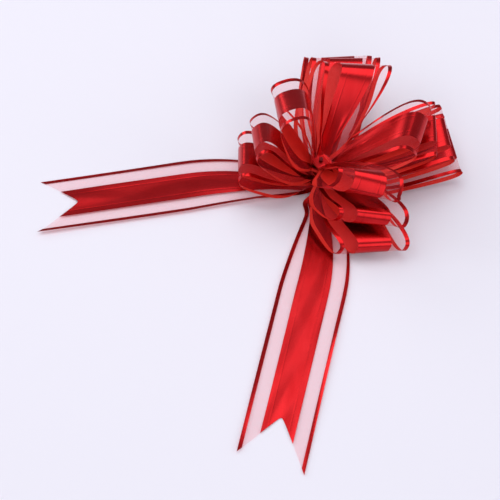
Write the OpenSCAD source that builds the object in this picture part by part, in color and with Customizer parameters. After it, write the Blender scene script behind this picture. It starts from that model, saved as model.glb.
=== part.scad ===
// Pre-made gift bow: thirteen loops and two swallow-tailed ends of foil-and-organza ribbon,
// threaded on two pull strings through the ribbon's pressed waists.
// The origin is on the pull strings' axis at the level the bow rests on. +Z is up, -Y is the front.

/* [Ribbon] */
// Full width of the ribbon
ribbon_w = 50; // [40:0.5:60]
// Width of the foil band down the middle
foil_w = 24; // [16:0.5:30]
// Width of each narrow foil edge
edge_w = 3; // [2:0.25:4]
// Thickness of the organza web
web_t = 0.3; // [0.2:0.05:0.4]
// Thickness of the foil laid on the web
foil_t = 0.15; // [0.1:0.05:0.2]

/* [Waists] */
// Width of the ribbon where it is pressed into a waist
waist_w = 6; // [4:0.25:7]
// Thickness of a pressed waist
waist_t = 0.9; // [0.7:0.05:1.1]
// Diameter of the pressed ring that the strings pass through
ring_d = 8.4; // [7:0.1:9.5]
// Distance from one waist to the next up the strings
waist_pitch = 2; // [1.8:0.1:3]

/* [Pull strings] */
// Diameter of each pull string
string_d = 0.9; // [0.6:0.1:1.1]
// Gap between the two strings
string_gap = 0.2; // [0.1:0.1:0.4]
// Clearance between the pair of strings and the hole in each waist
string_clearance = 0.5; // [0.3:0.05:0.6]
// Diameter of the knots that close the stack
knot_d = 7; // [5:0.25:9]

/* [Loops] */
// Size of the loops, in percent of the usual
loop_size = 100; // [80:1:120]
// How much sooner the lower side of a loop opens to full width than its upper side
lower_spread = 0.65; // [0.6:0.05:1]

/* [Tails] */
// Length of the left tail from the strings to its points
left_tail_l = 208; // [160:1:250]
// Length of the front tail from the strings to its points
front_tail_l = 256; // [200:1:310]
// Depth of the notch in the end of the left tail
left_notch = 30; // [10:1:45]
// Depth of the notch in the end of the front tail
front_notch = 43; // [10:1:55]

/* [Hidden] */

// Colours of the ribbon's three layers and of the strings
web_colour = "#f0b4be";
foil_colour = "#b0182a";
edge_colour = "#c8202e";
string_colour = "#d23a44";

// Each loop: name, place in the stack of waists, direction of its tip round the strings, reach
// of the tip, height of the tip, direction of the fold line, rise of the fold line, how far its
// upper and its lower side stand off the line to the tip, how far the two are pushed sideways
// past each other, and its upper side's opening distance in ribbon widths
LOOPS = [
    ["right_low", 2, 16, 101, 18, 105, 15, 2.5, 6, 0, 1.16],
    ["left_low", 3, 174, 60, 25, 90, -9, 8, 6, 0, 1],
    ["back_low", 4, 82, 97, 37, 4, 0, 6, 10, 1, 1.4],
    ["front_low", 5, -62, 79, 13, 4, 0, 6, 8, -3, 1.12],
    ["right_mid", 6, 15, 96, 33, 100, 7, 3.5, 4, 0, 1.44],
    ["left_mid", 7, 174, 48, 50, 96, -14, 9, 6, 0, 1],
    ["back_mid", 8, 77, 82, 53, 0, 0, 8, 5, 2, 1.5],
    ["front_mid", 9, -59, 69, 31, -8, 0, 8, 5, -4, 1.16],
    ["right_high", 10, 12, 85.5, 45, 90, 3, 3, 4, 0, 1.6],
    ["right_top", 11, 3.5, 74, 57, 75, 0, 12, 3, 0, 1.6],
    ["left_top", 12, 168, 26, 88, 99, -13, 14, 10, 0, 1.16],
    ["back_top", 13, 67, 63, 71, -4, 0, 13, 5, 5, 1.6],
    ["front_top", 14, -58, 60, 55, -14, -4, 13, 5, -3, 1.5]
];

// Each tail: name, place in the stack, length, heading where it leaves the strings, turn over its
// bend, notch, and how much less far its right-hand point reaches than its middle
TAILS = [
    ["left_tail", 0, left_tail_l, 167, 24, left_notch, 5],
    ["front_tail", 1, front_tail_l, 274, -15.3, front_notch, 5]
];

// The stack of waists stands on the base knot and ends under the top knot
base_knot_h = 1.2;
top_knot_h = 2.4;
knot_gap = 0.3;
waist_count = len(TAILS) + len(LOOPS);
first_waist = base_knot_h + knot_gap + waist_t / 2;
function waist_z(place) = first_waist + place * waist_pitch;
top_knot_z = waist_z(waist_count - 1) + waist_t / 2 + knot_gap;

// The hole in a waist clears both strings, which lie side by side
hole_d = 2 * string_d + string_gap + 2 * string_clearance;
string_offset = (string_d + string_gap) / 2;
// A loop's two sides leave the waist past its ring
waist_reach = ring_d / 2 + 1.6;
// How far the sides of a loop are sunk into the end of the waist
waist_lap = 0.2;
// Half the gap between the middles of a loop's two sides where they meet the waist
leg_gap = 0.24;

// Steps round a loop, and along a tail
loop_steps = 26;
tail_steps = 22;
// Height of a tail's web above the ground where it lies flat
lie_z = 0.1 + web_t / 2;
// Distance over which a tail comes down from its waist
fall_l = 12;
// Length of a tail from the strings over which it bends, before it runs straight
bend_l = 95;
// Share of a tail's length at which the notch starts to draw its stations back
notch_start = 0.6;

// Places across the ribbon, from -1 at one edge to 1 at the other
foil_u = foil_w / ribbon_w;
edge_u = 1 - 2 * edge_w / ribbon_w;
LEFT_EDGE = [-1, -edge_u];
RIGHT_EDGE = [edge_u, 1];
// Heights of the layers off the middle of the web
WEB = [-web_t / 2, web_t / 2];
FOIL = [web_t / 2, web_t / 2 + foil_t];

function unit(v) = v / norm(v);
function clamp(q) = min(max(q, 0), 1);

// Share of the full width that the ribbon has opened to at x, with its opening distance given in
// ribbon widths. A tail spreads sooner than a loop does.
waist_share = waist_w / ribbon_w;
loop_power = 1.25;
tail_power = 0.7;
tail_opening = 2;
function opened(x, distance, power) =
    waist_share + (1 - waist_share) * pow(sin(90 * clamp(x / (distance * ribbon_w))), power);

// One station of a loop at angle t: middle of the ribbon, direction across it, and half its width.
// The side view is a teardrop, and the direction across turns from the waist's to the fold
// line's on the way out. Both directions are signed so that across x forwards looks outwards.
belly_power = 1.6;
belly_roundness = 2;
belly_peak = 0.81;
function loop_station(lp, t) =
    let (
        k = loop_size / 100,
        out = [cos(lp[2]), sin(lp[2]), 0],
        root = out * waist_reach + [0, 0, waist_z(lp[1])],
        tip = [out[0] * lp[3] * k, out[1] * lp[3] * k, lp[4] * k],
        reach = norm(tip - root),
        along = (tip - root) / reach,
        rising = [cos(lp[5]) * cos(lp[6]), sin(lp[5]) * cos(lp[6]), sin(lp[6])],
        fold = cross(rising, along)[2] < 0 ? -rising : rising,
        up = unit(cross(fold, along)),
        side = unit(cross([0, 0, 1], along)),
        across = side * fold < 0 ? -side : side,
        s = sin(t / 2),
        q = s * s,
        upper = t < 180,
        round = 1 - pow(1 - abs(sin(t)), belly_roundness),
        belly = (upper ? 1 : -1) * k * round * pow(s, belly_power) / belly_peak,
        depth = (upper ? lp[7] : lp[8]) * belly + (upper ? 1 : -1) * leg_gap * (1 - q),
        opening = lp[10] * k * (upper ? 1 : lower_spread)
    )
    [
        root + along * reach * q + up * depth + fold * lp[9] * belly,
        unit((1 - q) * across + q * fold),
        ribbon_w / 2 * opened(reach * q, opening, loop_power)
    ];
function loop_stations(lp) = [for (i = [0:loop_steps]) loop_station(lp, 360 * i / loop_steps)];

// Direction that a loop's outer face looks in at station i
function outward(st, i) =
    let (
        before = st[max(i - 1, 0)][0],
        after = st[min(i + 1, len(st) - 1)][0]
    )
    unit(cross(st[i][1], after - before));

// Ring of points round one layer: a row of points on its lower face, and back on its upper face
function layer_ring(row, normal, layer) = concat(
    [for (p = row) p + normal * layer[0]],
    [for (i = [len(row) - 1:-1:0]) row[i] + normal * layer[1]]
);

// Rings of a loop's layer over the places us, leaving out some stations at each end
function loop_rings(lp, us, layer, left_out) =
    let (st = loop_stations(lp))
    [for (i = [left_out:len(st) - 1 - left_out])
        layer_ring([for (u = us) st[i][0] + st[i][1] * st[i][2] * u], outward(st, i), layer)];

// Heading of a tail, and point on its middle line, at distance d from the strings. The line is an
// arc as far as the end of the bend, and straight from there.
function tail_heading(tl, d) = tl[3] + tl[4] * min(d / bend_l, 1);
function tail_middle(tl, d) =
    let (
        radius = bend_l / (tl[4] * PI / 180),
        heading = tail_heading(tl, d),
        straight = max(d - bend_l, 0)
    )
    [
        radius * (sin(heading) - sin(tl[3])) + straight * cos(heading),
        radius * (cos(tl[3]) - cos(heading)) + straight * sin(heading),
        0
    ];

// Point on a tail at share k of its length and place u across it. Towards the end the middle
// is drawn back, which cuts the notch, and the right-hand point a little.
function tail_point(tl, k, u) =
    let (
        drawn = clamp((k - notch_start) / (1 - notch_start)),
        d = waist_reach + (tl[2] - waist_reach) * k,
        place = d - drawn * (tl[6] * u + tl[5] * (1 - abs(u))),
        heading = tail_heading(tl, place),
        half = ribbon_w / 2 * opened(d - waist_reach, tail_opening, tail_power),
        z = lie_z + (waist_z(tl[1]) - lie_z) * exp(-(d - waist_reach) / fall_l)
    )
    tail_middle(tl, place) + [sin(heading), -cos(heading), 0] * half * u + [0, 0, z];

// Rings of a tail's layer over the places us, leaving out some stations at the waist
function tail_rings(tl, us, layer, left_out) =
    [for (i = [left_out:tail_steps])
        layer_ring([for (u = us) tail_point(tl, i / tail_steps, u)], [0, 0, 1], layer)];

// Solid skin over rings of one size, whose end caps are strips across the layer's thickness.
// The upper face is cut along the same diagonals as the lower one, so the two never cross.
module skin(rings) {
    n = len(rings[0]);
    last = len(rings) - 1;
    walls = [for (i = [0:last - 1]) for (j = [0:n - 1])
        let (a = i * n + j, b = i * n + (j + 1) % n)
        each j < n / 2 ? [[a, b, b + n], [a, b + n, a + n]] : [[a, b, a + n], [b, b + n, a + n]]];
    cap = [for (j = [0:n / 2 - 2])
        each [[j, n - 1 - j, n - 2 - j], [j, n - 2 - j, j + 1]]];
    end = [for (f = cap) [for (k = [2:-1:0]) last * n + f[k]]];
    polyhedron([for (r = rings) each r], concat(walls, cap, end), convexity = 8);
}

// Pressed waist: a ring round the strings and a flat tongue towards the ribbon it belongs to
module waist(place, direction) {
    translate([0, 0, waist_z(place)])
    difference() {
        union() {
            cylinder(d = ring_d, h = waist_t, center = true, $fn = 48);
            rotate(direction)
                translate([0, -waist_w / 2, -waist_t / 2])
                cube([waist_reach + waist_lap, waist_w, waist_t]);
        }
        cylinder(d = hole_d, h = 2 * waist_t, center = true, $fn = 32);
    }
}

module loop_web(lp) {
    color(web_colour, 0.6) {
        waist(lp[1], lp[2]);
        skin(loop_rings(lp, [-1, -edge_u, -foil_u, foil_u, edge_u, 1], WEB, 0));
    }
}

module loop_foil(lp) {
    color(foil_colour) skin(loop_rings(lp, [-foil_u, foil_u], FOIL, 1));
}

module loop_edges(lp) {
    color(edge_colour) {
        skin(loop_rings(lp, LEFT_EDGE, FOIL, 1));
        skin(loop_rings(lp, RIGHT_EDGE, FOIL, 1));
    }
}

module tail_web(tl) {
    color(web_colour, 0.6) {
        waist(tl[1], tl[3]);
        skin(tail_rings(tl, [-1, -edge_u, -foil_u, 0, foil_u, edge_u, 1], WEB, 0));
    }
}

module tail_foil(tl) {
    color(foil_colour) skin(tail_rings(tl, [-foil_u, 0, foil_u], FOIL, 1));
}

module tail_edges(tl) {
    color(edge_colour) {
        skin(tail_rings(tl, LEFT_EDGE, FOIL, 1));
        skin(tail_rings(tl, RIGHT_EDGE, FOIL, 1));
    }
}

// A pull string runs from inside the base knot to inside the top knot
string_sink = 0.8;
module pull_string(y) {
    color(string_colour)
        translate([0, y, base_knot_h - string_sink])
        cylinder(d = string_d, h = top_knot_z - base_knot_h + 2 * string_sink, $fn = 24);
}

// Holes that the two strings leave in a knot
module string_holes(z) {
    for (y = [-string_offset, string_offset])
        translate([0, y, z]) cylinder(d = string_d, h = string_sink, $fn = 24);
}

module base_knot() {
    color(string_colour)
    difference() {
        cylinder(d = knot_d, h = base_knot_h, $fn = 48);
        string_holes(base_knot_h - string_sink);
    }
}

module top_knot() {
    color(string_colour)
    difference() {
        translate([0, 0, top_knot_z])
            cylinder(d1 = knot_d, d2 = knot_d * 0.6, h = top_knot_h, $fn = 48);
        string_holes(top_knot_z);
    }
}

pull_string(-string_offset);  // pull_string_front
pull_string(string_offset);  // pull_string_back
base_knot();
top_knot();
for (tl = TAILS) {
    tail_web(tl);
    tail_foil(tl);
    tail_edges(tl);
}
for (lp = LOOPS) {
    loop_web(lp);
    loop_foil(lp);
    loop_edges(lp);
}
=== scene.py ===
"""Pre-made gift bow: gathered loops and swallow-tailed ends of foil-banded organza ribbon."""

import math

import bpy
import numpy as np
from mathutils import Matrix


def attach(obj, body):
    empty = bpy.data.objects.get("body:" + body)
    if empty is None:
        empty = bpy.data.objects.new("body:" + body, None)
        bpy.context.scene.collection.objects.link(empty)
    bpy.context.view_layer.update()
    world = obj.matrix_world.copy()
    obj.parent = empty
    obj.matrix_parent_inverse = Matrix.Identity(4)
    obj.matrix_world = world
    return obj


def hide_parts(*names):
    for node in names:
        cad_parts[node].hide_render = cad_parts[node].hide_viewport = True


bl_info = {
    "name": "Foil and organza pull bow",
    "version": (1, 0, 0),
    "blender": (4, 5, 0),
    "location": "View3D > Sidebar > Pull bow",
    "description": "Makes a gathered pull bow of foil-banded organza ribbon round its CAD frame",
    "category": "Mesh",
}

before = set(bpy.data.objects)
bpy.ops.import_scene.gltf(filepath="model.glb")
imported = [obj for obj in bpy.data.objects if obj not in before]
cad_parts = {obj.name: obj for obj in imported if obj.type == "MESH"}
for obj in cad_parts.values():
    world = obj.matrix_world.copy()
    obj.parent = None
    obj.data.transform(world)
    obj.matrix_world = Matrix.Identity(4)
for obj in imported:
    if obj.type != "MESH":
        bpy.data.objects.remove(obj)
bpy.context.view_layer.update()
MM = 0.001

# ---------------------------------------------------------------- the bow's layout

# Height of the lowest waist's middle above the ground, and the step from one waist to the next
FIRST_WAIST = 1.95
WAIST_PITCH = 2.0
# Distance from the strings at which a segment's sides leave its waist
WAIST_REACH = 5.8

# Each loop: place in the stack of waists, direction of its tip round the strings (degrees),
# reach and height of the tip, direction and rise of the fold line (degrees), how far its upper
# and lower side stand off the line to the tip, how far the two are pushed sideways past each
# other, and its upper side's opening distance in ribbon widths
LOOPS = {
    "right_low": (2, 16, 101, 18, 105, 15, 2.5, 6, 0, 1.16),
    "left_low": (3, 174, 60, 25, 90, -9, 8, 6, 0, 1),
    "back_low": (4, 82, 97, 37, 4, 0, 6, 10, 1, 1.4),
    "front_low": (5, -62, 79, 13, 4, 0, 6, 8, -3, 1.12),
    "right_mid": (6, 15, 96, 33, 100, 7, 3.5, 4, 0, 1.44),
    "left_mid": (7, 174, 48, 50, 96, -14, 9, 6, 0, 1),
    "back_mid": (8, 77, 82, 53, 0, 0, 8, 5, 2, 1.5),
    "front_mid": (9, -59, 69, 31, -8, 0, 8, 5, -4, 1.16),
    "right_high": (10, 12, 85.5, 45, 90, 3, 3, 4, 0, 1.6),
    "right_top": (11, 3.5, 74, 57, 75, 0, 12, 3, 0, 1.6),
    "left_top": (12, 168, 26, 88, 99, -13, 14, 10, 0, 1.16),
    "back_top": (13, 67, 63, 71, -4, 0, 13, 5, 5, 1.6),
    "front_top": (14, -58, 60, 55, -14, -4, 13, 5, -3, 1.5),
}
LOOP_FIELDS = (
    "place", "heading", "reach", "height", "fold_heading", "fold_rise", "upper", "lower",
    "lean", "opening",
)
# The lower side of a loop opens to full width in this share of the upper side's distance
LOWER_OPENING = 0.65
# Shape of a loop's side view: the power that closes it towards the waist, how round its fold
# is, and its peak
TEARDROP_POWER = 1.6
TEARDROP_ROUNDNESS = 2
TEARDROP_PEAK = 0.81
# Half the gap between a loop's two sides where they leave the waist
LEG_GAP = 0.24
# Share of its full width that the ribbon is pressed to in a waist, and the powers of the curves
# by which a loop and a tail spread from there
WAIST_SHARE = 6 / 50
LOOP_POWER = 0.85
TAIL_POWER = 0.7

# Each tail: place in the stack, length, heading at the strings and turn over its bend
# (degrees), depth of the notch, how much less far the right-hand point reaches, how much its
# right side lies above its middle, how wrinkled it is, and how far its right edge turns up
TAILS = {
    "left_tail": (0, 208, 167, 24, 30, 5, -0.5, 0.5, -0.8),
    "front_tail": (1, 256, 274, -15.3, 43, 5, 0, 1, 1.8),
}
TAIL_FIELDS = (
    "place", "length", "heading", "turn", "notch", "short_point", "tilt", "wrinkles", "right_curl",
)
# Distance over which a tail bends before it runs straight, and its opening distance in widths
BEND = 95
TAIL_OPENING = 2
# Share of a tail's length at which its notch begins to draw the ribbon's middle back
NOTCH_START = 0.6
# Height of a tail's web where it lies flat, and the distance over which it comes down to there
LIE_Z = 0.25
FALL = 12
# How far a tail's right side flares out where it leaves the waist, and where and how widely
FLARE = 6
FLARE_PLACE = 9
FLARE_SPREAD = 8
# Share of the width from its middle to its edge at which a tail's edge begins to turn up
RIM = 0.7
# How far a tail's left edge turns up, and how far both are drawn in by that, in half widths
LEFT_CURL = 1.3
RIM_INSET = 0.02
# Heights of a tail's lengthwise and slanting wrinkles, and of its slow unevenness
LONG_WRINKLE = 0.3
SLANT_WRINKLE = 0.15
TAIL_RIPPLE = 0.1
# Lowest that the middle of a tail's web may lie
LOWEST = 0.15
# How far the ribbon runs on past the strings inside its waist
WAIST_END = 4.2
# Pleats across the ribbon's width where it is gathered, and how much their bulk widens it, and
# where and how widely
PLEATS = 2.5
BULK = 0.05
BULK_PLACE = 13
BULK_SPREAD = 9
# How pinched the pleats' crests are, half the width that they are folded from, and the share of
# the width opened at which they end
PLEAT_SHARPNESS = 0.85
PLEATED = 25
PLEAT_END = 0.75
# The foil band's share of the width, and how high its pleats stand against the organza's
FOIL_SHARE = 0.48
FOIL_PLEAT = 0.25
# Distance from the waist over which a loop's and a tail's ribbon comes free of the gather
LOOP_FREE = 25
TAIL_FREE = 40
# Share of the width at which a loop's edge begins to curl, and how far it curls
LOOP_RIM = 0.8
LOOP_CURL = 0.9
# Slow unevenness of a loop's foil, and how much more its organza has towards the edges
LOOP_RIPPLE = 0.12
ORGANZA_RIPPLE = 0.5
# The knots' twine, the radius they are tied to, and the base knot's and top knot's heights
TWINE = 0.9
KNOT_RADIUS = 1.7
BASE_KNOT_HEIGHT = 1.2
TOP_KNOT_HEIGHT = 2.4
# Height of the top knot's foot above the middle of the highest waist
TOP_KNOT_GAP = 0.75


def rows(table, fields):
    """The table's rows as dictionaries with named fields."""
    return {name: dict(zip(fields, row)) for name, row in table.items()}


# ---------------------------------------------------------------- arrays of points


def unit(v):
    """Vectors scaled to length one."""
    return v / np.maximum(np.linalg.norm(v, axis=-1, keepdims=True), 1e-12)


def wave(phase, sharpness):
    """A wave of height one whose crests are pinched like folded ribbon: the arcsine of a
    sine a little under one."""
    return np.arcsin(sharpness * np.sin(phase)) / math.asin(sharpness)


def bell(x, place, spread):
    """A bell curve of height one about a place."""
    return np.exp(-(((x - place) / spread) ** 2))


def opened(x, distance, power):
    """Share of the full width that the ribbon has opened to at x: it rises from the waist's
    share to one by a sine to a power."""
    q = np.clip(x / distance, 0, 1)
    return WAIST_SHARE + (1 - WAIST_SHARE) * np.sin(np.pi / 2 * q) ** power


def surface_normals(grid):
    """Unit normals of a grid of points: along-direction crossed into across-direction."""
    along = np.gradient(grid, axis=0)
    across = np.gradient(grid, axis=1)
    return unit(np.cross(across, along))


def columns(ribbon):
    """Places across the ribbon from -1 to 1, with a column on every border between layers."""
    foil = ribbon.foil_width / ribbon.width
    edge = 1 - 2 * ribbon.edge_width / ribbon.width
    parts = [
        np.linspace(-1, -edge, 4),
        np.linspace(-edge, -foil, 11)[1:],
        np.linspace(-foil, foil, 41)[1:],
        np.linspace(foil, edge, 11)[1:],
        np.linspace(edge, 1, 4)[1:],
    ]
    return np.concatenate(parts)


def pleats(us, share, room, seed):
    """Knife pleats that take up the width the ribbon has lost, as a shift across (in half
    widths) and a height. Both follow one folded wave, so each run forwards climbs over the
    last and each run back goes under it. The height is kept within the room there is, and
    fades as the ribbon opens."""
    drift = 0.5 * np.sin(2.1 * us + seed)
    fold = wave(np.pi * PLEATS * us + drift + 1.7 * seed, PLEAT_SHARPNESS)
    shift = (1 - share) * fold / (2 * PLEATS)
    stand = PLEATED / (2 * PLEATS) * np.sqrt(np.clip(share * (1 - share), 0, 1)) * 1.1
    stiff = np.where(np.abs(us) < FOIL_SHARE, FOIL_PLEAT, 1)
    height = np.tanh(stand / room) * room * fold * np.clip(2 * (PLEAT_END - share), 0, 1)
    return shift, stiff * height


def ripples(along, across, seed, height):
    """Slow unevenness that breaks up reflections: three crossed sine waves in millimetres."""
    a = np.sin(along / 13.0 + 1.2 * np.sin(across / 13.0 + seed) + seed)
    b = np.sin(along / 27.0 - across / 9.0 + 2.1 * seed)
    c = np.sin(across / 5.3 + 0.8 * np.sin(along / 33.0 + 3.0 * seed))
    return height * (0.35 * a + 0.35 * b + 0.3 * c)


# ---------------------------------------------------------------- ribbon surfaces


def teardrop(loop, steps, width):
    """Stations of a loop in millimetres: middle points, directions across, share of the width
    opened, distance from the waist, and half the space between the two sides. At angle t the
    middle is root + along * R * q + up * depth, where q is sin squared of t/2, and the depth a
    teardrop, (1 - (1 - |sin t|) ** roundness) * sin(t/2) ** power. The direction across turns
    from the waist's to the fold's. At both ends the ribbon runs on past the strings."""
    t = np.linspace(0, 2 * np.pi, steps)[:, None]
    heading = math.radians(loop["heading"])
    out = np.array([math.cos(heading), math.sin(heading), 0.0])
    root = out * WAIST_REACH + [0, 0, FIRST_WAIST + WAIST_PITCH * loop["place"]]
    tip = out * loop["reach"] + [0, 0, loop["height"]]
    reach = np.linalg.norm(tip - root)
    along = (tip - root) / reach
    a, b = math.radians(loop["fold_heading"]), math.radians(loop["fold_rise"])
    fold = np.array([math.cos(a) * math.cos(b), math.sin(a) * math.cos(b), math.sin(b)])
    fold *= -1 if np.cross(fold, along)[2] < 0 else 1
    up = unit(np.cross(fold, along))
    side = unit(np.cross([0, 0, 1], along))
    side *= -1 if side @ fold < 0 else 1

    s = np.sin(t / 2)
    q = s**2
    upper = t < np.pi
    rounded = 1 - (1 - np.abs(np.sin(t))) ** TEARDROP_ROUNDNESS
    belly = np.where(upper, 1, -1) * rounded * s**TEARDROP_POWER / TEARDROP_PEAK
    depth = np.where(upper, loop["upper"], loop["lower"]) * belly
    gap = np.where(upper, 1, -1) * LEG_GAP * (1 - q)
    middle = root + along * reach * q + up * (depth + gap) + fold * loop["lean"] * belly
    across = unit((1 - q) * side + q * fold)
    distance = loop["opening"] * width * np.where(upper, 1, LOWER_OPENING)
    share = opened(reach * q, distance, LOOP_POWER)
    share = np.minimum(share + BULK * bell(reach * q, BULK_PLACE, BULK_SPREAD), 1)

    inwards = np.linspace(0, 1, 12)[1:, None]
    through = root - out * inwards * (WAIST_REACH + WAIST_END)
    ring = WAIST_SHARE * (1 + 0.35 * np.sin(np.pi * inwards))
    still = np.broadcast_to(side, through.shape)
    ends = [through[::-1] + up * LEG_GAP, through - up * LEG_GAP]
    middle = np.concatenate([ends[0], middle, ends[1]])
    across = np.concatenate([still, across, still])
    share = np.concatenate([ring[::-1], share, ring])
    x = np.concatenate([0 * inwards, reach * q, 0 * inwards])
    room = np.concatenate([0 * inwards, 0.5 * np.abs(depth), 0 * inwards])
    return middle, across, share, x, room


def loop_surface(loop, us, steps, seed, width):
    """Middle surface of a loop's ribbon, with its UV, its normals and its developed length.
    The ribbon is laid across each station of the teardrop, pleated where it is narrow, and its
    thin edges curl a little where it is open."""
    middle, across, share, x, room = teardrop(loop, steps, width)
    step = np.linalg.norm(np.diff(middle, axis=0), axis=1)
    length = np.concatenate([[0], np.cumsum(step)])
    v = np.broadcast_to(length[:, None], (len(length), len(us)))
    outward = unit(np.cross(across, np.gradient(middle, axis=0)))
    shift, lift = pleats(us, share, 0.3 + 0.6 * room + 0.03 * x, seed)
    free = np.clip(x / LOOP_FREE, 0, 1)
    loose = LOOP_RIPPLE + ORGANZA_RIPPLE * np.clip(np.abs(us) - FOIL_SHARE, 0, 1)
    lift = lift + ripples(v, us * width / 2, seed, loose) * free
    curl = np.clip((np.abs(us) - LOOP_RIM) / (1 - LOOP_RIM), 0, 1) ** 2
    turn = np.sin(v / 24.0 + seed + np.where(us > 0, 1.9, 0.0))
    lift = lift + curl * free * LOOP_CURL * turn
    place = width / 2 * (share * us + shift)
    grid = middle[:, None] + across[:, None] * place[..., None]
    grid = grid + outward[:, None] * lift[..., None]
    uv = np.stack([np.broadcast_to(us * width / 2, v.shape), v], -1)
    return grid, uv, surface_normals(grid), float(length[-1])


def tail_surface(tail, us, steps, seed, width):
    """Middle surface of a tail's ribbon, with its UV, its normals and its length. Its middle
    line is an arc and then straight. Towards the end the middle columns are drawn back to cut
    the notch. The height comes down from the waist by an exponential. The ribbon is pleated
    near the waist and flares on its right there, has long low wrinkles further out, and its
    thin edges turn up or down."""
    k = np.linspace(0, 1, steps)[:, None]
    start = -WAIST_REACH - WAIST_END
    x = start + (tail["length"] - WAIST_REACH - start) * k
    share = opened(np.maximum(x, 0), TAIL_OPENING * width, TAIL_POWER)
    whole = (x + WAIST_REACH) / tail["length"]
    drawn = np.clip((whole - NOTCH_START) / (1 - NOTCH_START), 0, 1)
    cut = tail["short_point"] * us + tail["notch"] * (1 - np.hypot(us, 0.05))
    place = WAIST_REACH + x - drawn * cut
    turn = math.radians(tail["turn"])
    first = math.radians(tail["heading"])
    heading = first + turn * np.minimum(place / BEND, 1)
    radius = BEND / turn
    straight = np.maximum(place - BEND, 0)
    plan_x = radius * (np.sin(heading) - math.sin(first)) + straight * np.cos(heading)
    plan_y = radius * (math.cos(first) - np.cos(heading)) + straight * np.sin(heading)

    shift, lift = pleats(us, share, 0.35 + 0.02 * np.clip(x, 0, 60), seed)
    free = np.clip(x / TAIL_FREE, 0, 1)
    rim = np.clip((np.abs(us) - RIM) / (1 - RIM), 0, 1) ** 2
    turned = free * (0.75 + 0.25 * np.sin(x / 31.0 + seed + np.where(us > 0, 2.0, 0.0)))
    inset = RIM_INSET * rim * turned * np.sign(us)
    lift = lift + np.where(us > 0, tail["right_curl"], LEFT_CURL) * rim * turned
    long_fold = wave(us * 5.2 + x / 33.0 + seed, 0.85)
    slant_fold = wave(us * 9.5 - x / 19.0 + 2 * seed, 0.85)
    folds = LONG_WRINKLE * long_fold + SLANT_WRINKLE * slant_fold * np.sin(x / 50.0 + seed)
    lift = lift + free * (tail["wrinkles"] * folds + tail["tilt"] * us + abs(tail["tilt"]))
    lift = lift + ripples(place, us * width / 2, seed, TAIL_RIPPLE * tail["wrinkles"])
    fall = np.exp(-np.maximum(x, 0) / FALL)
    floor = LIE_Z + (FIRST_WAIST + WAIST_PITCH * tail["place"] - LIE_Z) * fall
    z = np.maximum(floor + lift + 0.5 * free, LOWEST)
    flare = FLARE * np.clip(us, 0, 1) * bell(x, FLARE_PLACE, FLARE_SPREAD)
    half = width / 2 * (share * us + shift - inset) + flare
    grid = np.stack([plan_x + np.sin(heading) * half, plan_y - np.cos(heading) * half, z], -1)
    uv = np.stack([np.broadcast_to(us * width / 2, place.shape), place], -1)
    return grid, uv, surface_normals(grid), tail["length"] + WAIST_END


def knot_surface(base, height, thickness, radius):
    """Tube round a trefoil, (2 + cos 3a) * (cos 2a, sin 2a) with a height of sin 3a, which fits
    a radius and a height above a base. UV runs round the tube and along it."""
    a = np.linspace(0, 2 * np.pi, 97)[:, None]
    b = np.linspace(0, 2 * np.pi, 13)[None, :-1]
    scale = (radius - thickness / 2) / 3
    rise = (height - thickness) / 2
    flat = scale * (2 + np.cos(3 * a))
    line = np.concatenate([flat * np.cos(2 * a), flat * np.sin(2 * a), rise * np.sin(3 * a)], 1)
    line[:, 2] += base + height / 2
    tangent = unit(np.gradient(line, axis=0))
    side = unit(np.cross(tangent, [0, 0, 1]))
    over = np.cross(side, tangent)
    ring = side[:, None] * np.cos(b)[..., None] + over[:, None] * np.sin(b)[..., None]
    grid = line[:, None] + thickness / 2 * ring
    uv = np.stack(np.broadcast_arrays(b * thickness / 2, a * radius), -1)
    return grid, uv, True


# ---------------------------------------------------------------- meshes


def grid_mesh(name, grids, materials):
    """One object from grids of points (millimetres), each a triple of points, UV and whether
    its columns close round. Quads run over each grid, and the UV map is in metres."""
    points, faces, uvs, base = [], [], [], 0
    for grid, uv, closed in grids:
        n, m = grid.shape[:2]
        index = base + np.arange(n * m).reshape(n, m)
        if closed:
            index = np.concatenate([index, index[:, :1]], 1)
            uv = np.concatenate([uv, uv[:, :1]], 1)
        corners = [
            (slice(0, -1), slice(0, -1)), (slice(0, -1), slice(1, None)),
            (slice(1, None), slice(1, None)), (slice(1, None), slice(0, -1)),
        ]
        faces.append(np.stack([index[c] for c in corners], -1).reshape(-1, 4))
        uvs.append(np.stack([uv[c] for c in corners], 2).reshape(-1, 2))
        points.append(grid.reshape(-1, 3))
        base += n * m
    mesh = bpy.data.meshes.new(name)
    vertices = np.concatenate(points) * MM
    quads = np.concatenate(faces)
    mesh.from_pydata(vertices.tolist(), [], quads.tolist())
    layer = mesh.uv_layers.new(name="ribbon")
    layer.data.foreach_set("uv", (np.concatenate(uvs) * MM).astype(np.float32).ravel())
    mesh.polygons.foreach_set("use_smooth", np.ones(len(quads), bool))
    for material in materials:
        mesh.materials.append(material)
    mesh.update()
    piece = bpy.data.objects.new(name, mesh)
    bpy.context.scene.collection.objects.link(piece)
    return piece


def thicken(piece, thickness, inner_slot):
    """Gives a skin its thickness outwards, with its inner face in another material."""
    solid = piece.modifiers.new("Thickness", "SOLIDIFY")
    solid.thickness = thickness * MM
    solid.offset = 1
    solid.material_offset = inner_slot
    solid.use_rim = False


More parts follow.
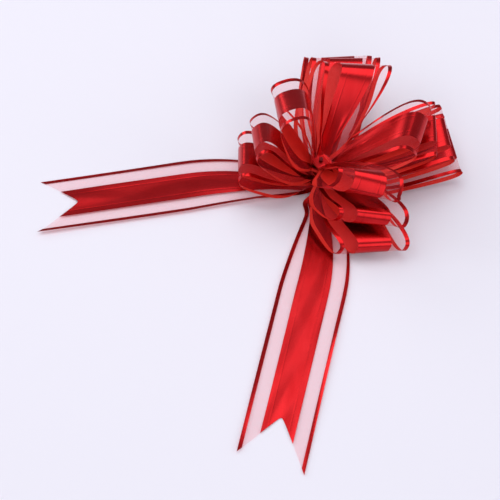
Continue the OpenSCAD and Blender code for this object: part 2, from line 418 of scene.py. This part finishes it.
def ribbon_pieces(name, surface, us, ribbon, looks):
    """The three layers of one segment: organza across the full width, the foil band a little
    outside its middle, and the two foil edges outside its borders."""
    grid, uv, normal, length = surface
    foil = np.flatnonzero(np.abs(us) <= ribbon.foil_width / ribbon.width + 1e-6)
    border = 1 - 2 * ribbon.edge_width / ribbon.width
    left = np.flatnonzero(us <= -border + 1e-6)
    right = np.flatnonzero(us >= border - 1e-6)
    outside = grid + normal * ribbon.foil_lift

    web = grid_mesh(f"{name}_organza", [(grid, uv, False)], [looks["organza"]])
    band = grid_mesh(
        f"{name}_foil_band",
        [(outside[:, foil], uv[:, foil], False)],
        [looks["foil"], looks["backing"]],
    )
    edges = grid_mesh(
        f"{name}_foil_edges",
        [(outside[:, side], uv[:, side], False) for side in (left, right)],
        [looks["edge"], looks["backing"]],
    )
    for piece, layer, slot in (
        (web, "web", "organza_web"), (band, "foil", "foil_band"), (edges, "edges", "foil_edge"),
    ):
        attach(piece, name)
        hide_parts(f"{name}_{layer}")
    thicken(band, ribbon.foil_thickness, 1)
    thicken(edges, ribbon.foil_thickness, 1)


# ---------------------------------------------------------------- materials

# Distance of the foil's scored lines from its middle, and half their width
SCORE_PLACE = 7.6
SCORE_WIDTH = 0.8
# Distance between the drawn threads of the organza
THREAD_PITCH = 0.9


def linear(code):
    """An sRGB hex colour as linear RGBA."""
    parts = [int(code[i:i + 2], 16) / 255 for i in (1, 3, 5)]
    return [p / 12.92 if p <= 0.04045 else ((p + 0.055) / 1.055) ** 2.4 for p in parts] + [1.0]


def add(tree, kind, inputs=None, **settings):
    """Adds a node with its settings, and sets or links its inputs."""
    node = tree.nodes.new(kind)
    for key, value in settings.items():
        setattr(node, key, value)
    for key, value in (inputs or {}).items():
        if isinstance(value, bpy.types.NodeSocket):
            tree.links.new(value, node.inputs[key])
        else:
            node.inputs[key].default_value = value
    return node


def new_material(name):
    """An empty node material with its output, and the node tree."""
    material = bpy.data.materials.new(name)
    material.use_nodes = True
    tree = material.node_tree
    tree.nodes.clear()
    return material, tree


def finish_material(tree, shader):
    """Links the shader to the material's output."""
    add(tree, "ShaderNodeOutputMaterial", {"Surface": shader.outputs[0]})


def mapped(tree, across, along):
    """The ribbon's UV, in metres, scaled so that one unit is the given millimetres."""
    uv = add(tree, "ShaderNodeUVMap", uv_map="ribbon")
    scale = (1000 / across, 1000 / along, 1)
    return add(tree, "ShaderNodeMapping", {"Vector": uv.outputs[0], "Scale": scale}).outputs[0]


def foil_material(name, deep, bright, roughness, score_lines):
    """Metallised polyester film: a vacuum-coated film, mirror-like, with hair lines along the
    ribbon from the rollers that drew it, and two scored lines near the band's borders."""
    material, tree = new_material(name)
    hair = add(tree, "ShaderNodeTexNoise", {
        "Vector": mapped(tree, 0.7, 80), "Scale": 1.0, "Detail": 3.0, "Roughness": 0.6,
    })
    cloud = add(tree, "ShaderNodeTexNoise", {
        "Vector": mapped(tree, 9, 22), "Scale": 1.0, "Detail": 2.0, "Roughness": 0.5,
    })
    colour = add(tree, "ShaderNodeMix", {
        "Factor": cloud.outputs[0], "A": linear(deep), "B": linear(bright),
    }, data_type="RGBA")
    rough = add(tree, "ShaderNodeMapRange", {
        "Value": hair.outputs[0], "From Min": 0.3, "From Max": 0.7,
        "To Min": roughness * 0.95, "To Max": roughness * 1.05,
    })
    bump = add(tree, "ShaderNodeBump", {
        "Height": hair.outputs[0], "Strength": 0.005, "Distance": 0.0001,
    })
    normal = bump.outputs[0]
    if score_lines:
        uv = add(tree, "ShaderNodeSeparateXYZ", {"Vector": mapped(tree, 1, 1)})
        away = add(tree, "ShaderNodeMath", {0: uv.outputs[0]}, operation="ABSOLUTE")
        off = add(tree, "ShaderNodeMath", {0: away.outputs[0], 1: SCORE_PLACE},
                  operation="SUBTRACT")
        near = add(tree, "ShaderNodeMath", {0: off.outputs[0]}, operation="ABSOLUTE")
        groove = add(tree, "ShaderNodeMapRange", {
            "Value": near.outputs[0], "From Max": SCORE_WIDTH,
        }, interpolation_type="SMOOTHSTEP")
        score = add(tree, "ShaderNodeBump", {
            "Height": groove.outputs[0], "Strength": 0.18, "Distance": 0.0002, "Normal": normal,
        })
        normal = score.outputs[0]
    shader = add(tree, "ShaderNodeBsdfPrincipled", {
        "Base Color": colour.outputs["Result"], "Metallic": 1.0,
        "Roughness": rough.outputs[0], "Normal": normal,
    })
    finish_material(tree, shader)
    return material


def weave(tree, pitch):
    """Plain weave as a height from 0 to 1: two crossed sine bands a thread pitch apart. Real
    organza has three threads to a millimetre, too fine to see, so the pitch is drawn wider."""
    u = add(tree, "ShaderNodeSeparateXYZ", {"Vector": mapped(tree, pitch, pitch)})
    bands = []
    for axis in (0, 1):
        turn = add(tree, "ShaderNodeMath", {0: u.outputs[axis], 1: 2 * math.pi},
                   operation="MULTIPLY")
        bands.append(add(tree, "ShaderNodeMath", {0: turn.outputs[0]}, operation="SINE"))
    both = add(tree, "ShaderNodeMath", {0: bands[0].outputs[0], 1: bands[1].outputs[0]},
               operation="MAXIMUM")
    return add(tree, "ShaderNodeMapRange", {
        "Value": both.outputs[0], "From Min": -1.0, "From Max": 1.0,
    }).outputs[0]


def organza_material(colour):
    """Nylon organza, a plain weave of stiff bright monofilament: a sheer pink veil whose
    threads cover about half of what is behind it."""
    material, tree = new_material("sheer nylon organza")
    threads = weave(tree, THREAD_PITCH)
    uneven = add(tree, "ShaderNodeTexNoise", {
        "Vector": mapped(tree, 1.2, 5), "Scale": 1.0, "Detail": 2.0, "Roughness": 0.5,
    })
    cover = add(tree, "ShaderNodeMapRange", {
        "Value": threads, "To Min": 0.07, "To Max": 0.19,
    })
    varied = add(tree, "ShaderNodeMapRange", {
        "Value": uneven.outputs[0], "To Min": 0.8, "To Max": 1.2,
    })
    alpha = add(tree, "ShaderNodeMath", {0: cover.outputs[0], 1: varied.outputs[0]},
                operation="MULTIPLY", use_clamp=True)
    bump = add(tree, "ShaderNodeBump", {"Height": threads, "Strength": 0.25, "Distance": 0.0001})
    shader = add(tree, "ShaderNodeBsdfPrincipled", {
        "Base Color": linear(colour), "Roughness": 0.5, "IOR": 1.53,
        "Specular IOR Level": 0.2, "Sheen Weight": 0.1, "Sheen Roughness": 0.4,
        "Sheen Tint": linear(colour),
        "Alpha": alpha.outputs[0], "Normal": bump.outputs[0],
    })
    finish_material(tree, shader)
    return material


def backing_material(colour, dark):
    """The foil band seen from behind, through the organza that it is laminated to: a satin
    orange-red with the weave showing."""
    material, tree = new_material("organza-backed film")
    threads = weave(tree, THREAD_PITCH)
    streak = add(tree, "ShaderNodeTexNoise", {
        "Vector": mapped(tree, 1.2, 30), "Scale": 1.0, "Detail": 2.0,
    })
    both = add(tree, "ShaderNodeMath", {0: threads, 1: streak.outputs[0]}, operation="MULTIPLY")
    tone = add(tree, "ShaderNodeMix", {
        "Factor": both.outputs[0], "A": linear(dark), "B": linear(colour),
    }, data_type="RGBA")
    bump = add(tree, "ShaderNodeBump", {"Height": threads, "Strength": 0.3, "Distance": 0.0001})
    shader = add(tree, "ShaderNodeBsdfPrincipled", {
        "Base Color": tone.outputs["Result"], "Roughness": 0.42, "IOR": 1.5,
        "Specular IOR Level": 0.3, "Normal": bump.outputs[0],
    })
    finish_material(tree, shader)
    return material


def string_material(colour):
    """Twisted polypropylene twine, satin, with its lay drawn as slanting bands."""
    material, tree = new_material("twisted polypropylene twine")
    place = add(tree, "ShaderNodeTexCoord")
    lay = add(tree, "ShaderNodeTexWave", {
        "Vector": place.outputs["Object"], "Scale": 900.0, "Distortion": 1.5,
    }, bands_direction="DIAGONAL")
    bump = add(tree, "ShaderNodeBump", {
        "Height": lay.outputs["Fac"], "Strength": 0.5, "Distance": 0.0001,
    })
    shader = add(tree, "ShaderNodeBsdfPrincipled", {
        "Base Color": linear(colour), "Roughness": 0.6, "IOR": 1.49, "Normal": bump.outputs[0],
    })
    finish_material(tree, shader)
    return material


def floor_material(colour):
    """Matt sweep of studio paper with a very faint tooth."""
    material, tree = new_material("matt studio paper")
    place = add(tree, "ShaderNodeTexCoord")
    tooth = add(tree, "ShaderNodeTexNoise", {
        "Vector": place.outputs["Object"], "Scale": 900.0, "Detail": 2.0,
    })
    bump = add(tree, "ShaderNodeBump", {
        "Height": tooth.outputs[0], "Strength": 0.05, "Distance": 0.0001,
    })
    shader = add(tree, "ShaderNodeBsdfPrincipled", {
        "Base Color": linear(colour), "Roughness": 0.9, "Normal": bump.outputs[0],
    })
    finish_material(tree, shader)
    return material


def looks():
    """The ribbon's materials, made once and shared by every segment."""
    bow = bpy.context.scene.pull_bow
    if "organza" not in MADE:
        MADE["foil"] = foil_material(
            "metallised polyester film", bow.foil_deep, bow.foil_bright, 0.26, True)
        MADE["edge"] = foil_material(
            "metallised edge film", bow.foil_deep, bow.edge_colour, 0.24, False)
        MADE["organza"] = organza_material(bow.organza_colour)
        MADE["backing"] = backing_material(bow.backing_colour, bow.backing_dark)
    return MADE


MADE = {}


# ---------------------------------------------------------------- settings


class PullBowSettings(bpy.types.PropertyGroup):
    """Sizes, in millimetres, and colours of the bow."""

    width: bpy.props.FloatProperty(
        name="Ribbon width", description="Full width of the ribbon (mm)", default=50, min=30)
    foil_width: bpy.props.FloatProperty(
        name="Foil width", description="Width of the foil band (mm)", default=24, min=10)
    edge_width: bpy.props.FloatProperty(
        name="Edge width", description="Width of each foil edge (mm)", default=3, min=1)
    foil_lift: bpy.props.FloatProperty(
        name="Foil lift", description="Height of the foil over the organza (mm)", default=0.06)
    foil_thickness: bpy.props.FloatProperty(
        name="Foil thickness", description="Thickness of the foil (mm)", default=0.1, min=0.02)
    loop_steps: bpy.props.IntProperty(
        name="Loop steps", description="Stations round a loop", default=121, min=24)
    tail_steps: bpy.props.IntProperty(
        name="Tail steps", description="Stations along a tail", default=161, min=24)
    foil_deep: bpy.props.StringProperty(
        name="Deep foil", description="Darker tint of the foil (sRGB hex)", default="#b81a1e")
    foil_bright: bpy.props.StringProperty(
        name="Bright foil", description="Lighter tint of the foil (sRGB hex)", default="#cf2a2e")
    edge_colour: bpy.props.StringProperty(
        name="Edge foil", description="Tint of the foil edges (sRGB hex)", default="#d42a2c")
    organza_colour: bpy.props.StringProperty(
        name="Organza", description="Colour of the organza's threads (sRGB hex)",
        default="#ff3c46")
    backing_colour: bpy.props.StringProperty(
        name="Backing", description="Colour of the foil from behind (sRGB hex)",
        default="#f2402c")
    backing_dark: bpy.props.StringProperty(
        name="Backing in shade", description="Darker tint from behind (sRGB hex)",
        default="#d82a1e")
    string_colour: bpy.props.StringProperty(
        name="String", description="Colour of the pull strings (sRGB hex)", default="#7c0c12")


class PullBowStage(bpy.types.PropertyGroup):
    """The camera's place, the floor's colour and the even light."""

    elevation: bpy.props.FloatProperty(
        name="Elevation", description="Camera's angle above the floor", subtype="ANGLE",
        default=math.radians(50))
    distance: bpy.props.FloatProperty(
        name="Distance", description="Camera's distance from its aim", unit="LENGTH", default=2.6)
    lens: bpy.props.FloatProperty(
        name="Lens", description="Focal length (mm) on a 36 mm sensor", default=259.2)
    aim: bpy.props.FloatVectorProperty(
        name="Aim", description="Point on the floor that the camera looks at", subtype="XYZ",
        unit="LENGTH", default=(-0.0515, -0.0595, 0.0))
    floor_colour: bpy.props.StringProperty(
        name="Floor", description="Colour of the paper (sRGB hex)", default="#efedf7")
    ambient: bpy.props.FloatProperty(
        name="Ambient", description="Strength of the even light from all round", default=0.34)
    ambient_colour: bpy.props.StringProperty(
        name="Ambient colour", description="Colour of that light (sRGB hex)", default="#f4f3ff")


# ---------------------------------------------------------------- operators


class BOW_OT_loops(bpy.types.Operator):
    """Make the thirteen loops: a teardrop surface each, gathered at its waist"""

    bl_idname = "bow.loops"
    bl_label = "Make the loops"

    def execute(self, context):
        bow = context.scene.pull_bow
        us = columns(bow)
        for number, (name, loop) in enumerate(rows(LOOPS, LOOP_FIELDS).items()):
            surface = loop_surface(loop, us, bow.loop_steps, 1.0 + 1.37 * number, bow.width)
            ribbon_pieces(name, surface, us, bow, looks())
        return {"FINISHED"}


class BOW_OT_tails(bpy.types.Operator):
    """Make the two tails: ribbon along an arc on the ground, with a V cut in its end"""

    bl_idname = "bow.tails"
    bl_label = "Make the tails"

    def execute(self, context):
        bow = context.scene.pull_bow
        us = columns(bow)
        for number, (name, tail) in enumerate(rows(TAILS, TAIL_FIELDS).items()):
            surface = tail_surface(tail, us, bow.tail_steps, 0.6 + 2.2 * number, bow.width)
            ribbon_pieces(name, surface, us, bow, looks())
        return {"FINISHED"}


class BOW_OT_strings(bpy.types.Operator):
    """Give the pull strings their finish, and tie a knot of the same twine at each end"""

    bl_idname = "bow.strings"
    bl_label = "Finish the strings"

    def execute(self, context):
        twine = string_material(context.scene.pull_bow.string_colour)
        for node in ("pull_string_front", "pull_string_back"):
            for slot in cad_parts[node].material_slots:
                slot.material = twine
        highest = FIRST_WAIST + WAIST_PITCH * (len(LOOPS) + len(TAILS) - 1)
        knots = (
            ("base_knot", 0.0, BASE_KNOT_HEIGHT),
            ("top_knot", highest + TOP_KNOT_GAP, TOP_KNOT_HEIGHT),
        )
        for node, base, height in knots:
            surface = knot_surface(base, height, TWINE, KNOT_RADIUS)
            knot = grid_mesh(f"tied_{node}", [surface], [twine])
            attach(knot, "pull_strings")
            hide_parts(node)
        return {"FINISHED"}


class BOW_OT_stage(bpy.types.Operator):
    """Set the floor, the soft lights and the camera"""

    bl_idname = "bow.stage"
    bl_label = "Set the stage"

    def execute(self, context):
        stage = context.scene.pull_bow_stage
        self.floor(stage)
        self.lights(context.scene, stage)
        self.camera(context.scene, stage)
        return {"FINISHED"}

    def floor(self, stage):
        half = 4.0
        corners = [(-half, -half, 0), (half, -half, 0), (half, half, 0), (-half, half, 0)]
        mesh = bpy.data.meshes.new("paper_floor")
        mesh.from_pydata(corners, [], [(0, 1, 2, 3)])
        mesh.materials.append(floor_material(stage.floor_colour))
        floor = bpy.data.objects.new("paper_floor", mesh)
        bpy.context.scene.collection.objects.link(floor)

    def lights(self, scene, stage):
        """Softboxes as (name, place, size, power in watts), each aimed at the bow apart from
        the overhead one, which hangs level."""
        boxes = (
            ("overhead_softbox", (-0.1, 0.36, 1.6), 1.5, 13.0),
            ("back_softbox", (-1.6, 1.66, 1.16), 1.1, 9),
            ("left_softbox", (-1.8, -0.2, 1.1), 1.5, 8),
            ("right_softbox", (1.9, -0.3, 1.2), 1.4, 9),
            ("front_softbox", (0.2, -2.4, 1.7), 2.2, 22),
        )
        for name, place, size, power in boxes:
            light = bpy.data.lights.new(name, "AREA")
            light.shape = "SQUARE"
            light.size = size
            light.energy = power
            lamp = bpy.data.objects.new(name, light)
            lamp.location = place
            x, y, z = place
            pitch = 0 if name == "overhead_softbox" else math.atan2(math.hypot(x, y), z)
            lamp.rotation_euler = (pitch, 0, math.atan2(-y, -x) - math.pi / 2)
            scene.collection.objects.link(lamp)
        world = bpy.data.worlds.new("studio")
        world.use_nodes = True
        background = world.node_tree.nodes["Background"]
        background.inputs["Color"].default_value = linear(stage.ambient_colour)
        background.inputs["Strength"].default_value = stage.ambient
        scene.world = world

    def camera(self, scene, stage):
        data = bpy.data.cameras.new("camera")
        data.lens = stage.lens
        data.sensor_width = 36
        data.clip_end = 50
        camera = bpy.data.objects.new("camera", data)
        back = stage.distance * math.cos(stage.elevation)
        rise = stage.distance * math.sin(stage.elevation)
        aim = stage.aim
        camera.location = (aim[0], aim[1] - back, aim[2] + rise)
        camera.rotation_euler = (math.pi / 2 - stage.elevation, 0, 0)
        scene.collection.objects.link(camera)
        scene.camera = camera


class BOW_PT_panel(bpy.types.Panel):
    """Buttons for each group of pieces, and the settings"""

    bl_label = "Pull bow"
    bl_idname = "BOW_PT_panel"
    bl_space_type = "VIEW_3D"
    bl_region_type = "UI"
    bl_category = "Pull bow"

    def draw(self, context):
        for group in (context.scene.pull_bow, context.scene.pull_bow_stage):
            for key in group.__annotations__:
                self.layout.prop(group, key)
        for operator in OPERATORS:
            self.layout.operator(operator.bl_idname)


OPERATORS = (BOW_OT_loops, BOW_OT_tails, BOW_OT_strings, BOW_OT_stage)
CLASSES = (PullBowSettings, PullBowStage, *OPERATORS, BOW_PT_panel)


def register():
    for cls in CLASSES:
        bpy.utils.register_class(cls)
    bpy.types.Scene.pull_bow = bpy.props.PointerProperty(type=PullBowSettings)
    bpy.types.Scene.pull_bow_stage = bpy.props.PointerProperty(type=PullBowStage)


def unregister():
    del bpy.types.Scene.pull_bow_stage
    del bpy.types.Scene.pull_bow
    for cls in reversed(CLASSES):
        bpy.utils.unregister_class(cls)


def main():
    register()
    bpy.context.scene.view_settings.view_transform = "Standard"
    bpy.ops.bow.stage()
    bpy.ops.bow.loops()
    bpy.ops.bow.tails()
    bpy.ops.bow.strings()


if __name__ == "__main__":
    main()
